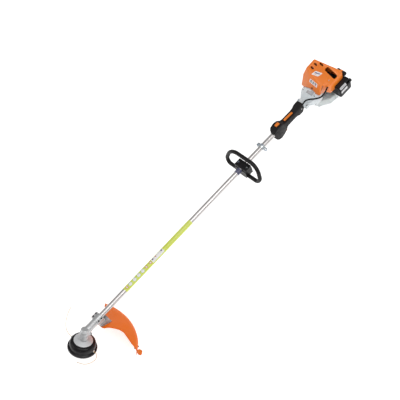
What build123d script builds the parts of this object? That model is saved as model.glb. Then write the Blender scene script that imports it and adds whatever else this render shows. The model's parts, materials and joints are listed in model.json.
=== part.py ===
from build123d import *
import os
import math

os.makedirs("parts", exist_ok=True)

# ---------------------------------------------------------------------------
# Petrol brush cutter / grass trimmer with loop handle.
# Modelling frame ("tool frame"), millimetres: X runs rearwards along the drive
# tube from the gearbox clamp to the engine, Y to the operator's right, Z up.
# At the end every piece is tipped by LIE_ANGLE so that the tool lies on its
# deflector skirt and engine skid, and moved so that the origin is the bottom
# centre of its box.
# ---------------------------------------------------------------------------

# overall layout along the tube
GEAR_X = -103.0            # gear case centre, on the tube axis
GEAR_TILT = 32.0           # head axis leans back from the tube's normal, deg
TUBE_D = 25.4
TUBE_WALL = 1.6
TUBE_X0, TUBE_X1 = -58.0, 1428.0
SHAFT_D = 7.0
LABEL_X0, LABEL_X1 = 159.0, 602.0
LOOP_X = 978.0
RING_X = 1113.0
HANDLE_X0, HANDLE_X1 = 1194.0, 1408.0
CLUTCH_X0, CLUTCH_X1 = 1396.0, 1486.0

# cutting head, in head-local coordinates (z along the head axis)
HEAD_D = 136.0
HEAD_BODY_D = 121.0
HEAD_TOP, HEAD_RIM, HEAD_BOTTOM = -47.0, -84.0, -100.0
LINE_D = 2.4
EYE_AZ = (100.0, -80.0)
EYE_Z = -71.0
DISH_D = 87.0

# deflector, in head-local coordinates
GUARD_R = 249.0
GUARD_T = 3.0
GUARD_SKIRT_Z = -56.0

# loop handle
LOOP_BAR_D = 20.0
LOOP_LEAN = 15.0           # leans back towards the operator
LOOP_H = 100.0             # bar centre to bar centre
LOOP_LOW_Z = -40.0         # lower bar centre, below the tube axis

# bevel gears
PINION_T, GEAR_T = 12, 17

LIE_ANGLE = 2.36

C_, MI, MA = Align.CENTER, Align.MIN, Align.MAX

def box(x0, x1, y0, y1, z0, z1):
    return Pos((x0 + x1) / 2, (y0 + y1) / 2, (z0 + z1) / 2) * Box(x1 - x0, y1 - y0, z1 - z0)

def cyl_x(r, x0, x1, y=0.0, z=0.0):
    return Location((x0, y, z), (0, 90, 0)) * Cylinder(r, x1 - x0, align=(C_, C_, MI))

def cyl_y(r, y0, y1, x=0.0, z=0.0):
    return Location((x, y0, z), (-90, 0, 0)) * Cylinder(r, y1 - y0, align=(C_, C_, MI))

def cyl_z(r, z0, z1, x=0.0, y=0.0):
    return Location((x, y, z0)) * Cylinder(r, z1 - z0, align=(C_, C_, MI))

def rev(pts):
    """closed (r, z) outline turned about Z"""
    f = make_face(Polyline([(r, 0, z) for r, z in pts], close=True))
    return revolve(f, Axis.Z, 360)

def rev_x(pts):
    """closed (x, r) outline turned about X"""
    f = make_face(Polyline([(x, 0, r) for x, r in pts], close=True))
    return revolve(f, Axis.X, 360)

def plate(pts, z0, z1):
    """closed (x, y) outline raised from z0 to z1"""
    f = make_face(Polyline([(x, y, z0) for x, y in pts], close=True))
    return extrude(f, z1 - z0, dir=(0, 0, 1))

def plate_y(pts, y0, y1):
    """closed (x, z) outline raised from y0 to y1"""
    f = make_face(Polyline([(x, y0, z) for x, z in pts], close=True))
    return extrude(f, y1 - y0, dir=(0, 1, 0))

def plate_x(pts, x0, x1):
    """closed (y, z) outline raised from x0 to x1"""
    f = make_face(Polyline([(x0, y, z) for y, z in pts], close=True))
    return extrude(f, x1 - x0, dir=(1, 0, 0))

def soften(s, radii, edges=None):
    """round the edges with the first radius that gives a valid solid"""
    for r in radii:
        try:
            e = edges(s) if edges else s.edges()
            t = fillet(e, r)
            if t.is_valid and t.volume > 0:
                return t
        except Exception:
            pass
    print("soften: left sharp")
    return s

def soften_most(s, radii, edges):
    """round as many of the edges as possible, longest first, then the rest one by one"""
    def attempt(shape, sel, r):
        try:
            t = fillet(sel, r)
            return t if t.is_valid and t.volume > 0 else None
        except Exception:
            return None
    todo = sorted(edges(s), key=lambda e: -e.length)
    sel = []
    for e in todo:
        if attempt(s, sel + [e], radii[0]) is not None:
            sel.append(e)
    out = attempt(s, sel, radii[0])
    left = [e.center() for e in todo if e not in sel]
    for c in left:
        for r in radii[1:]:
            e = min(out.edges(), key=lambda q: (q.center() - c).length)
            if (e.center() - c).length > 12:
                break
            t = attempt(out, [e], r)
            if t is not None:
                out = t
                break
        else:
            print("soften_most: sharp edge at", [round(v) for v in (c.X, c.Y, c.Z)])
    return out

def half(a, b, c, d, keep_below=True, size=900):
    """big block whose face is the plane a*x + b*y + c*z = d, on the far side"""
    n = Vector(a, b, c)
    p = n * (d / (n.length * n.length))
    pl = Plane(origin=p, z_dir=n)
    return pl * Box(size * 4, size * 4, size, align=(C_, C_, MI))

def tube_path(pts, diameter, name):
    """tube along straight runs joined by tangent arcs"""
    P = [Vector(*p) for p in pts]
    radii = []
    for i in range(1, len(P) - 1):
        a, b = P[i] - P[i - 1], P[i + 1] - P[i]
        turn = math.radians(a.get_angle(b))
        radii.append(0.45 * min(a.length, b.length) / math.tan(turn / 2))
    print(name, "radii", [round(r, 1) for r in radii])
    path = FilletPolyline(*P, radius=radii)
    w = path.wire() if hasattr(path, "wire") else Wire(path)
    sec = Plane(origin=w @ 0, z_dir=w % 0) * Circle(diameter / 2)
    s = sweep(sec, path=w)
    L = w.length
    print(name, "length", round(L, 1), "volume ratio", round(s.volume / (L * math.pi * diameter ** 2 / 4), 4))
    return s

parts = {}

def put(name, shape):
    if isinstance(shape, (list, tuple, ShapeList)):
        shape = Compound(children=list(shape))
    parts[name] = shape

HEAD = Location((GEAR_X, 0, 0), (0, GEAR_TILT, 0))

def put_head(name, shape):
    if isinstance(shape, (list, tuple, ShapeList)):
        shape = Compound(children=list(shape))
    put(name, shape.moved(HEAD))

def screw(r_head, h_head, r_shank, length, hex_r=None):
    """cap screw, head top at z = 0, shank pointing down"""
    s = Pos(0, 0, -h_head) * Cylinder(r_head, h_head, align=(C_, C_, MI))
    s = s + Pos(0, 0, -length) * Cylinder(r_shank, length - h_head + 0.01, align=(C_, C_, MI))
    if hex_r:
        s = s - Pos(0, 0, -h_head * 0.6) * extrude(RegularPolygon(hex_r, 6), h_head)
    return s

# --------------------------- cutting head ----------------------------------
R1, R2 = HEAD_D / 2, HEAD_BODY_D / 2
ST = R2 - 4
housing = rev([(5.3, -47), (45, -47), (53, -49.5), (58, -55), (R2, -63), (R2 + 0.5, -80), (R1 - 1, -84),
               (R1, -85), (R1, -90), (R1 - 3, -90), (R1 - 4, -87.5), (ST + 1, -84), (ST, -64), (53, -57), (45, -52.5), (5.3, -52)])
for az in EYE_AZ:
    housing -= Location((0, 0, EYE_Z), (0, 0, az)) * cyl_x(4.6, 45, 75)
put_head("head_housing", housing)

cap = rev([(R1, -90), (R1, -92.5), (R1 - 3, -97), (60, -100), (31, -101), (31, -97.5), (58, -96.5), (R1 - 5, -90)])
for k in range(12):
    cap -= Location((0, 0, 0), (0, 0, k * 30)) * box(44, 56, -3, 3, -102, -99.2)
put_head("head_cap", cap)

put_head("line_spool", rev([(7, -66.5), (50, -66.5), (50, -68.5), (24, -68.5), (24, -86), (50, -86), (50, -88.5), (7, -88.5)]))
button = rev([(0, -88.8), (27, -88.8), (27.5, -104), (25, -109.5), (17, -112.5), (0, -113)])
for k in range(10):
    button -= Location((0, 0, 0), (0, 0, k * 36)) * box(24.6, 30, -2, 2, -114, -101.5)
put_head("tap_button", button)

eyes = []
for az in EYE_AZ:
    e = cyl_x(4.5, 55.5, 64.5) + cyl_x(5.8, 61.8, 64.5)
    e = e - cyl_x(LINE_D / 2 + 0.3, 54, 63.9) - cyl_x(LINE_D / 2 + 0.05, 63, 66)
    eyes.append(Location((0, 0, EYE_Z), (0, 0, az)) * e)
put_head("line_eyelets", eyes)

# the two cutting lines, fixed in their eyelets and curled by their own set
LINE_A = [(-11.19, 63.49, -71), (-13, 81, -71), (-8, 104, -69.5), (4, 127, -67), (21, 147, -62), (41, 165, -54), (62, 179, -46), (84, 189, -38.5)]
LINE_B = [(11.19, -63.49, -71), (12.5, -77, -71.5), (7, -91, -73), (-7, -101, -74), (-26, -105.5, -74.5), (-46, -104.5, -74.5), (-64, -98, -74), (-79, -85, -73), (-89, -66, -72)]
put_head("trimmer_line_a", tube_path(LINE_A, LINE_D, "trimmer_line_a"))
put_head("trimmer_line_b", tube_path(LINE_B, LINE_D, "trimmer_line_b"))

put_head("thrust_dish", rev([(5.3, -33), (13, -33), (16, -34.5), (30, -39.5), (41, -43), (DISH_D / 2, -44.3), (DISH_D / 2, -46.7), (38, -46.7), (36, -45), (8, -42), (5.3, -42)]))
shaft = rev([(0, -60.5), (5, -60.5), (5, -30), (6, -30), (6, -1.5), (0, -1.5)]) + extrude(Pos(0, 0, -60) * RegularPolygon(9.2, 6), 7.6)
put_head("output_shaft", shaft)

# --------------------------- gearbox ---------------------------------------
# bevel pair, 122 degrees between the shafts; the pitch cones meet at the gear case
# centre, and each blank stands 0.35 mm inside its pitch cone
SHAFT_ANGLE = math.radians(90.0 + GEAR_TILT)
DELTA_P = math.atan2(math.sin(SHAFT_ANGLE), GEAR_T / PINION_T + math.cos(SHAFT_ANGLE))
DELTA_G = SHAFT_ANGLE - DELTA_P
CONE = 15.8
def bevel(delta, back, teeth, bore, slot):
    """gear blank about Z, apex at the origin, teeth facing the apex"""
    r1, d1 = CONE * math.sin(delta) - 0.35 * math.cos(delta), CONE * math.cos(delta) + 0.35 * math.sin(delta)
    r0, d0 = (CONE - 5) * math.sin(delta) - 0.35 * math.cos(delta), (CONE - 5) * math.cos(delta) + 0.35 * math.sin(delta)
    b = rev([(bore, d0), (r0, d0), (r1, d1), (r1 - 0.3, back), (bore, back)])
    for k in range(teeth):
        cut = Location((r1, 0, d1), (0, -90 + math.degrees(delta), 0)) * Box(14, slot, 2.2)
        b -= Location((0, 0, 0), (0, 0, (k + 0.5) * 360.0 / teeth)) * cut
    return b
put_head("bevel_gear", Location((0, 0, 0), (180, 0, 0)) * bevel(DELTA_G, 9.0, GEAR_T, 6.05, 1.5))
put("bevel_pinion", Location((GEAR_X, 0, 0), (0, 90, 0)) * bevel(DELTA_P, 17.0, PINION_T, 3.55, 1.5))

neck = rev_x([(GEAR_X, 0), (GEAR_X, 19.5), (-84, 18.6), (-60, 17.4), (-40, 17.7), (4, 17.7), (4, 0)])
case = HEAD * (rev([(0, 27), (14.5, 27), (17.5, 24), (18, -20), (21, -25), (21.5, -32), (0, -32)]))
ball = Pos(GEAR_X, 0, 0) * Sphere(21.5)
clampb = box(-32, 4, -24.5, 24.5, -15, 15)
clampb = soften(clampb, [4, 3, 2], lambda s: s.edges().filter_by(Axis.Z))
clampb = soften(clampb, [2.5, 1.5], lambda s: s.edges().filter_by(GeomType.LINE).group_by(Axis.Z)[-1])
gear = neck + case + ball + clampb
gear = gear - HEAD * (Pos(0, 0, -30) * Cylinder(17, 33, align=(C_, C_, MI))) - HEAD * (Pos(0, 0, -33) * Cylinder(14, 6, align=(C_, C_, MI)))
gear = gear - cyl_x(14.5, GEAR_X + 5, TUBE_X0) - cyl_x(TUBE_D / 2 + 0.04, TUBE_X0 - 0.01, 5)
gear = gear - box(-34, 5, 12, 26, -0.8, 0.8) - box(-34, 5, -26, -12, -0.8, 0.8) - box(-33.6, -32, -26, 26, -0.8, 0.8)
CL_SCREWS = [(-22, -19), (-22, 19), (-5, -19), (-5, 19)]
for x, y in CL_SCREWS:
    gear = gear - cyl_z(2.6, -16, 16, x, y) - cyl_z(4.6, 10.5, 16, x, y)
lug = HEAD * (Location((14, -10, -4), (0, 0, -35)) * cyl_x(6.2, 0, 13))
gear = gear + lug
gear = gear - HEAD * (Location((14, -10, -4), (0, 0, -35)) * cyl_x(3.1, -6, 14))
gear = gear - HEAD * (Pos(0, 0, -30) * Cylinder(17, 33, align=(C_, C_, MI))) - cyl_x(14.5, GEAR_X + 5, TUBE_X0)
# cooling ribs on the neck are left plain; a shallow step marks the case joint
put("gearbox_housing", gear)
brg = [HEAD * rev([(6.05, -29.8), (16.9, -29.8), (16.9, -21.5), (6.05, -21.5)]), HEAD * rev([(6.05, -19.5), (16.9, -19.5), (16.9, -11.2), (6.05, -11.2)]),
       rev_x([(-73, 3.55), (-73, 14.4), (-65, 14.4), (-65, 3.55)])]
put("gearbox_bearings", brg)
gp = HEAD * (Location((14, -10, -4), (0, 0, -35)) * (cyl_x(3.0, 2, 13.05) + cyl_x(5.2, 13.05, 16.5) - Location((14.6, 0, 0)) * box(0, 3, -0.8, 0.8, -6, 6)))
put("grease_plug", gp)
put("gearbox_screws", [Location((x, y, 14.6)) * screw(4.4, 4.0, 2.5, 28, 2.4) for x, y in CL_SCREWS])

# --------------------------- guard bracket and deflector -------------------
# metal bracket: clamped below the gearbox clamp, its foot lies on the deflector
PAD_Z = 15.0               # deflector mounting face, head-local height
DSC = [(98.0, -16.5), (98.0, 10.0), (106.0, -3.25)]   # deflector screws, head-local
br = box(-31, 20, -27, 23, -52, -15.2)
br = soften(br, [6, 4], lambda s: s.edges().filter_by(Axis.Z))
br = br - box(-24, 13, -21, 17, -70, -20)            # open box section
br = br + box(-24, 13, -3.5, 0.5, -60, -19)          # web
br = br + (HEAD * box(80, 160, -36, 36, PAD_Z + 0.05, PAD_Z + 4.5)) .intersect(box(-34, 22, -29, 25, -70, -15.2)) 
br = br - cyl_x(18.9, -60, 5) - box(-60, 4.3, -40, 40, -15.15, 0)
br = br - HEAD * box(0, 260, -60, 60, -80, PAD_Z + 0.05)
for x, y in ((-22, -19), (-22, 19), (-5, -19), (-5, 19)):
    br = br - cyl_z(2.6, -60, -10, x, y)
for x, y in DSC:
    br = br - HEAD * cyl_z(2.05, 10, 26, x, y)
put("guard_bracket", br)

ZR = [(60, 15.0), (118, 15.0), (226, -18.0), (238, -22.5), (245, -29.0)]
prof = [(55, 15.0), (112, 15.0), (226, -18.0), (238, -22.5), (245.5, -29.5), (GUARD_R - 0.6, -38), (GUARD_R, GUARD_SKIRT_Z),
        (GUARD_R - GUARD_T, GUARD_SKIRT_Z), (GUARD_R - GUARD_T - 0.6, -38), (242.8, -31.2), (236, -25.2), (225, -21.2), (111.5, 12.0), (55, 12.0)]
shell = rev(prof)
plan = [(222, 108), (229, 112), (260, 100), (275, 30), (262, -60), (225, -140), (186, -178), (150, -222), (143, -226), (139, -221), (141, -197), (141, -163),
        (146, -127), (150, -100), (143, -80), (128, -66), (112, -55), (96, -46), (82, -40), (76, -30), (76, 26), (96, 34), (150, 52), (200, 80)]
cookie = plate(plan, -80, 40)
defl = shell.intersect(cookie)
defl = defl if not isinstance(defl, (list, ShapeList)) else Compound(children=list(defl))
tip = [(150, -206), (156.5, -216), (152, -226), (143.5, -229.5), (136, -222), (140, -204)]
nib = plate(tip, -38, -22)
nib = nib - rev([(0, -100), (GUARD_R - GUARD_T, -100), (GUARD_R - GUARD_T, -20), (0, -20)])
defl = defl + nib
# stiffening ribs under the plate
for yy in (-16.0, 12.0):
    rb = box(96, 236, yy, yy + 2.5, -34, 13).intersect(rev([(60, -16), (80, -4), (116, 2), (233, -32), (240, -30), (226, -20.6), (112, 12.6), (60, 12.6)]))
    defl = defl + rb
for x, y in DSC:
    defl = defl - cyl_z(2.7, -20, 40, x, y) - cyl_z(4.5, -40, 12.2, x, y)
defl = defl - box(236, 260, -64, -56, -60, -46)
put_head("deflector", defl)


# line cutter blade on the skirt's inner face, near the deflector's left end
BA = -46.0
blade = plate([(0, -13), (0, 13), (-9, 17), (-13, 15), (-13, -9), (-9, -13)], -1.0, 1.0)
blade = Location((0, 0, 0), (0, 0, BA)) * (Location((GUARD_R - GUARD_T - 0.9, 0, -50)) * (blade + box(-1.8, 0, -13, 13, -1, 11)))
bl_cut = Location((0, 0, 0), (0, 0, BA)) * cyl_x(2.1, 236, 252, 0, -44)
blade = blade - bl_cut - rev([(GUARD_R - GUARD_T - 0.6, -38), (GUARD_R - GUARD_T - 0.05, GUARD_SKIRT_Z), (270, GUARD_SKIRT_Z), (270, -30), (243, -30)])
parts["deflector"] = parts["deflector"] - HEAD * bl_cut
put_head("line_blade", blade)
put_head("deflector_screws", [Location((x, y, 12.0), (180, 0, 0)) * Pos(0, 0, 3) * screw(4.2, 3.0, 2.0, 11, 2.2) for x, y in DSC]
         + [Location((0, 0, 0), (0, 0, BA)) * Location((GUARD_R + 3.2, 0, -44), (0, 90, 0)) * screw(4.2, 3.0, 2.0, 11, 2.2)])

# --------------------------- tube and drive shaft --------------------------
put("drive_tube", cyl_x(TUBE_D / 2, TUBE_X0, TUBE_X1) - cyl_x(TUBE_D / 2 - TUBE_WALL, TUBE_X0 - 1, TUBE_X1 + 1))
put("drive_shaft", cyl_x(SHAFT_D / 2, GEAR_X + 8.3, 1452))
bush = [rev_x([(x - 9, SHAFT_D / 2 + 0.05), (x - 9, 11.05), (x + 9, 11.05), (x + 9, SHAFT_D / 2 + 0.05)]) for x in (30, 300, 570, 840, 1110, 1380)]
put("shaft_bushes", bush)
put("tube_label", rev_x([(LABEL_X0, TUBE_D / 2 + 0.02), (LABEL_X0, TUBE_D / 2 + 0.3), (LABEL_X1, TUBE_D / 2 + 0.3), (LABEL_X1, TUBE_D / 2 + 0.02)]))

# --------------------------- loop handle -----------------------------------
# drawn in its own plane (u = across, w = up), then leaned back
lb = LOOP_BAR_D / 2
LOOPLOC = Location((LOOP_X - 10, 0, LOOP_LOW_Z), (0, LOOP_LEAN, 0))
def half_loop(sg):
    pts = [Vector(0, sg * u, w) for u, w in [(29, 0), (92, 0), (108.5, 26), (84, LOOP_H), (0, LOOP_H)]]
    w = Wire(FilletPolyline(*pts, radius=[22, 30, 62]).edges())
    return sweep(Plane(origin=pts[0], z_dir=(0, sg, 0)) * Circle(lb), path=w)
loop_r, loop_l = LOOPLOC * half_loop(1), LOOPLOC * half_loop(-1)
# saddle under the tube that the lower bar grows into
sad = box(LOOP_X - 24, LOOP_X + 20, -36, 36, -46, -0.6)
sad = soften(sad, [7, 5, 3], lambda s: s.edges().filter_by(Axis.X))
bar = LOOPLOC * cyl_y(lb, -30, 30)
loop = sad + bar + loop_r + loop_l
print("loop solids", len(loop.solids()), round(loop.volume))
loop = loop - cyl_x(TUBE_D / 2 + 0.02, LOOP_X - 60, LOOP_X + 60) - box(LOOP_X - 60, LOOP_X + 60, -15, 15, -0.6, 20)
LS = [(LOOP_X - 2, -27.5), (LOOP_X - 2, 27.5)]
for x, y in LS:
    loop = loop - cyl_z(3.1, -36, 1, x, y) - (Pos(x, y, -30) * Box(10.2, 10.2, 5.2))
put("loop_handle", loop)
lc = box(LOOP_X - 22, LOOP_X + 18, -37, 37, 0.4, 19)
lc = soften(lc, [6, 4], lambda s: s.edges().filter_by(Axis.X).group_by(Axis.Z)[-1])
lc = soften(lc, [3, 2], lambda s: s.edges().filter_by(Axis.Z))
lc = lc - cyl_x(TUBE_D / 2 + 0.02, LOOP_X - 60, LOOP_X + 60)
for x, y in LS:
    lc = lc - cyl_z(3.1, -1, 20, x, y) - cyl_z(5.6, 14.5, 22, x, y)
put("loop_clamp", lc)
put("loop_screws", [Location((x, y, 18.6)) * screw(5.2, 4.0, 3.0, 46, 2.6) for x, y in LS])
put("tube_sleeve", rev_x([(LOOP_X - 52, TUBE_D / 2 + 0.02), (LOOP_X - 52, TUBE_D / 2 + 0.9), (LOOP_X - 25, TUBE_D / 2 + 0.9), (LOOP_X - 25, TUBE_D / 2 + 0.02)]))

# --------------------------- carrying ring ---------------------------------
ring = cyl_x(16.2, RING_X - 9, RING_X + 9) + box(RING_X - 9, RING_X + 9, 10, 27, -6, 6)
ring = soften(ring, [2.5, 1.5], lambda s: s.edges().filter_by(Axis.Z))
EYE = (RING_X, -26.0, 0.0)
ring = ring + box(RING_X - 8, RING_X + 8, EYE[1], -12, -3, 3) + cyl_z(8, -3, 3, EYE[0], EYE[1])
ring = ring - cyl_z(4.0, -5, 5, EYE[0], EYE[1]) - cyl_x(TUBE_D / 2 + 0.02, RING_X - 12, RING_X + 12) - box(RING_X - 12, RING_X + 12, 11, 30, -1.1, 1.1)
ring = ring - cyl_z(2.6, -8, 8, RING_X, 21)
put("carrying_ring", ring)

# --------------------------- control handle --------------------------------
# side outline (x, z) of the moulded grip: hand guard in front, slim grip, rear collar
H0, H1 = HANDLE_X0, HANDLE_X1
side = [(H0 + 6, 14), (H0 + 2, 24), (H0 + 12, 37), (H0 + 32, 44), (H0 + 58, 39), (H0 + 74, 24), (H0 + 90, 18.5), (H0 + 150, 18), (H0 + 168, 20), (H0 + 180, 26), (H0 + 200, 29), (H1, 28.5),
        (H1 + 1, -12), (H1 - 8, -22), (H1 - 34, -24), (H1 - 46, -18.5), (H0 + 100, -19), (H0 + 92, -21), (H0 + 84, -38), (H0 + 70, -44), (H0 + 40, -50), (H0 + 22, -46), (H0 + 8, -32), (H0, -14)]
def handle_half(sgn):
    f = plate_y(side, 0.0 if sgn > 0 else -21.0, 21.0 if sgn > 0 else 0.0)
    # plan outline (x, y)
    pl = [(H0, 13), (H0 + 10, 19), (H0 + 40, 20.5), (H0 + 62, 18.8), (H0 + 80, 15.2), (H0 + 150, 15.2), (H0 + 168, 16.4), (H0 + 182, 19), (H0 + 204, 19), (H1 + 1, 16)]
    poly = [(H0 - 1, 0)] + pl + [(H1 + 2, 0)]
    g = plate([(x, sgn * y) for x, y in poly], -60, 60)
    s = f.intersect(g)
    s = s if not isinstance(s, (list, ShapeList)) else s[0]
    s = soften(s, [5.5, 4.0, 3.0, 2.0], lambda q: [e for e in q.edges() if abs(e.center().Y) > 13 and abs(abs(e.tangent_at(0.5).Y)) < 0.5])
    return s
hl, hr = handle_half(-1), handle_half(1)
bore = cyl_x(TUBE_D / 2 + 0.05, H0 - 10, H1 + 10)
TRX, TRZ = H0 + 78, -24.0       # trigger pivot
trig_pocket = box(H0 + 62, H0 + 104, -5.2, 5.2, -52, -13.2)
lock_pocket = box(H0 + 86, H0 + 152, -5.2, 5.2, 13.4, 30)
sw_pocket = box(H0 + 27, H0 + 57, -7.2, 7.2, 32, 50)
HS = [(H0 + 16, 24), (H0 + 30, -36), (H1 - 20, -18.6)]
cable_hole = cyl_x(4.4, H1 - 20, H1 + 10, -13.5, 23)
def finish_half(s):
    s = s - bore - trig_pocket - lock_pocket - sw_pocket - cable_hole
    for x, z in HS:
        s = s - cyl_y(2.1, -30, 30, x, z) - cyl_y(3.9, -30, -14.5, x, z)
    s = s - cyl_y(2.05, -9, 9, TRX, TRZ) - cyl_y(2.05, -9, 9, H0 + 146, 15.5)
    return s
put("handle_shell_left", finish_half(hl - box(H0 - 20, H1 + 20, 0, 40, -80, 80)))
# the trigger and lockout pins are moulded on the right half
put("handle_shell_right", finish_half(hr - box(H0 - 20, H1 + 20, -40, 0, -80, 80)) + cyl_y(1.98, -7.5, 12, TRX, TRZ) + cyl_y(1.98, -7.5, 12, H0 + 146, 15.5))
put("handle_screws", [Location((x, -17.15, z), (90, 0, 0)) * screw(3.7, 2.6, 2.0, 26, 2.0) for x, z in HS])

trig = plate_y([(TRX - 5, -19), (TRX + 3, -18), (TRX + 22, -22), (TRX + 21, -27), (TRX + 13, -31), (TRX + 10, -38), (TRX + 12, -50), (TRX + 18, -60), (TRX + 14, -64), (TRX + 6, -61), (TRX - 2, -50), (TRX - 7, -34)], -4.8, 4.8)
trig = soften(trig, [1.6, 1.0], lambda s: s.edges().filter_by(Axis.Y))
trig = trig - cyl_y(2.05, -6, 6, TRX, TRZ)
put("throttle_trigger", trig)
LKX, LKZ = H0 + 146, 15.5       # lockout lever pivot, at its rear end
lock = plate_y([(LKX + 4, 14.2), (LKX + 4, 19), (LKX - 6, 21.5), (LKX - 48, 25), (LKX - 57, 23), (LKX - 58, 19.6), (LKX - 50, 19.0), (LKX - 4, 14.4)], -4.8, 4.8)
lock = soften(lock, [1.2, 0.8], lambda s: s.edges().filter_by(Axis.Y))
lock = lock - cyl_y(2.05, -6, 6, LKX, LKZ)
put("lockout_lever", lock)
sw = box(H0 + 29, H0 + 52, -6.8, 6.8, 33, 49.5)
sw = soften(sw, [3.5, 2], lambda s: s.edges().group_by(Axis.Z)[-1])
for k in range(3):
    sw = sw - box(H0 + 36 + 4 * k, H0 + 37.4 + 4 * k, -10, 10, 48.6, 52)
put("stop_switch", sw)

# --------------------------- clutch housing --------------------------------
ch = rev_x([(CLUTCH_X0 + 14, 0), (CLUTCH_X0 + 14, 20.5), (CLUTCH_X0 + 16, 22), (CLUTCH_X0 + 38, 23), (1462, 44), (1474, 50), (1477, 54.5), (CLUTCH_X1, 54.5), (CLUTCH_X1, 0)])
ch = ch + box(1413, 1433, -33, 33, -9, 9)
for a in range(0, 360, 45):
    ch = ch + (Location((0, 0, 0), (a + 22.5, 0, 0)) * plate_y([(1430, 18), (1430, 23.5), (1466, 49), (1477, 51), (1477, 40), (1450, 20)], -1.6, 1.6))
ch = ch - cyl_x(TUBE_D / 2 + 0.03, 1400, TUBE_X1 + 0.5) - cyl_x(9, 1425, 1440)
ch = ch - rev_x([(1436, 0), (1436, 20), (1460, 38), (1472, 46.5), (CLUTCH_X1 + 1, 46.5), (CLUTCH_X1 + 1, 0)])
ch = ch - box(1408, 1434, 12.7, 36, -0.8, 0.8) - box(1408, 1434, -36, -12.7, -0.8, 0.8)
for y in (-27, 27):
    ch = ch - cyl_z(2.6, -12, 12, 1423, y) - cyl_z(4.6, 5.5, 12, 1423, y)
CHS = [(51.5 * math.cos(math.radians(a)), 51.5 * math.sin(math.radians(a))) for a in (45, 135, 225, 315)]
for y, z in CHS:
    ch = ch + cyl_x(6, 1472, CLUTCH_X1, y, z)
for y, z in CHS:
    ch = ch - cyl_x(2.6, 1460, CLUTCH_X1 + 1, y, z) - cyl_x(4.15, 1460, 1475.05, y, z)
ch = ch - rev_x([(1436, 0), (1436, 20), (1460, 38), (1472, 44.5), (CLUTCH_X1 + 1, 44.5), (CLUTCH_X1 + 1, 0)])
put("clutch_housing", ch)
put("clamp_screws_short", [Location((1423, y, 9.6)) * screw(4.4, 4.0, 2.5, 19, 2.4) for y in (-27, 27)]
    + [Location((RING_X, 21, 10.1)) * screw(4.4, 4.0, 2.5, 19, 2.4)])
put("housing_screws", [Location((1471.6, y, z), (0, -90, 0)) * screw(4.0, 3.4, 2.5, 30, 2.2) for y, z in CHS])

drum = rev_x([(1446, SHAFT_D / 2), (1446, 10), (1452, 10), (1460, 34), (1478, 34), (1478, 31.5), (1462, 31.5), (1455, 8), (1455, 0), (1452, 0), (1452, SHAFT_D / 2)])
put("clutch_drum", drum)
shoe = rev_x([(1463.5, 10), (1463.5, 30.4), (1476, 30.4), (1476, 10)])
shoe = shoe - box(1460, 1480, -2, 2, -40, 40) - box(1460, 1480, -40, 40, -2, 2)
put("clutch_shoes", [s for s in shoe.solids()])
fan = rev_x([(1489, 6.02), (1489, 44), (1492, 44), (1492, 14), (1503, 12), (1503, 6.02)])
for k in range(14):
    fan = fan + (Location((0, 0, 0), (k * 360 / 14, 0, 0)) * (Location((1492, 0, 31), (0, 0, 18)) * box(-0.2, 9, -1.2, 1.2, -13, 13)))
put("flywheel_fan", fan)
crank = cyl_x(6, 1463, 1606) + cyl_x(9.9, 1463.5, 1476.2) + cyl_x(22, 1476.3, 1479) + cyl_x(24, 1539, 1549) + cyl_x(24, 1563, 1573)
put("crankshaft", crank)

# --------------------------- engine block ----------------------------------
CYX, CYY = 1556.0, 4.0      # cylinder axis
cc = rev_x([(CLUTCH_X1, 0), (CLUTCH_X1, 54), (1509, 54), (1514, 40), (1582, 40), (1584, 46), (1590, 46), (1590, 0)])
cc = cc + box(1522, 1588, -30, 36, 20, 47)
cc = cc - cyl_x(47.5, CLUTCH_X1 - 1, 1506) - cyl_x(30, 1533, 1579) - cyl_x(6.05, 1500, 1600)
cc = cc - cyl_z(19.8, 0, 60, CYX, CYY)
for y, z in CHS:
    cc = cc + cyl_x(6, CLUTCH_X1, 1509, y, z)
    cc = cc - cyl_x(2.5, CLUTCH_X1 - 1, 1505, y, z)
cc = cc - cyl_x(46.5, CLUTCH_X1 - 1, 1506)
cc = cc + box(1520, 1585, -30, 30, -52, -33)
cc = cc - (cyl_x(34, 1505, 1527) - cyl_x(13, 1500, 1530)) - cyl_x(6.05, 1500, 1600)
put("crankcase", cc)
cyl = cyl_z(22, 47.1, 101, CYX, CYY)
for k in range(8):
    cyl = cyl + box(CYX - 30, CYX + 27, CYY - 30, CYY + 32, 52 + 6.6 * k, 53.6 + 6.6 * k)
cyl = cyl + box(CYX - 13, CYX + 13, CYY + 20, 49.5, 58, 80)
cyl = cyl - cyl_z(17.5, 40, 92, CYX, CYY) - cyl_z(5.05, 88, 130, CYX, CYY)
CYL_RAW = cyl
plug = cyl_z(5, 86, 101.2, CYX, CYY) + extrude(Pos(CYX, CYY, 101.2) * RegularPolygon(8, 6), 5) + cyl_z(3, 106, 109, CYX, CYY)
put("spark_plug", plug)
boot = cyl_z(8.3, 106.4, 118, CYX, CYY) + cyl_x(5.2, CYX, CYX + 24, CYY, 112)
boot = soften(boot, [2, 1], lambda s: s.edges().group_by(Axis.Z)[-1])
boot = boot - cyl_z(3.1, 105, 109.2, CYX, CYY)
put("plug_boot", boot)
muf = box(1546, 1602, 54, 78, 30, 84)
muf = soften(muf, [7, 4])
muf = muf - soften(box(1548.5, 1599.5, 56.5, 75.5, 32.5, 81.5), [5, 4])      # sheet metal can, hollow
muf = muf + cyl_y(7, 77, 82, 1588, 72) - cyl_y(5, 74, 84, 1588, 72)
muf = muf + box(CYX - 12.5, CYX + 12.5, 49.6, 56, 58.5, 79.5)
put("muffler", muf)

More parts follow.
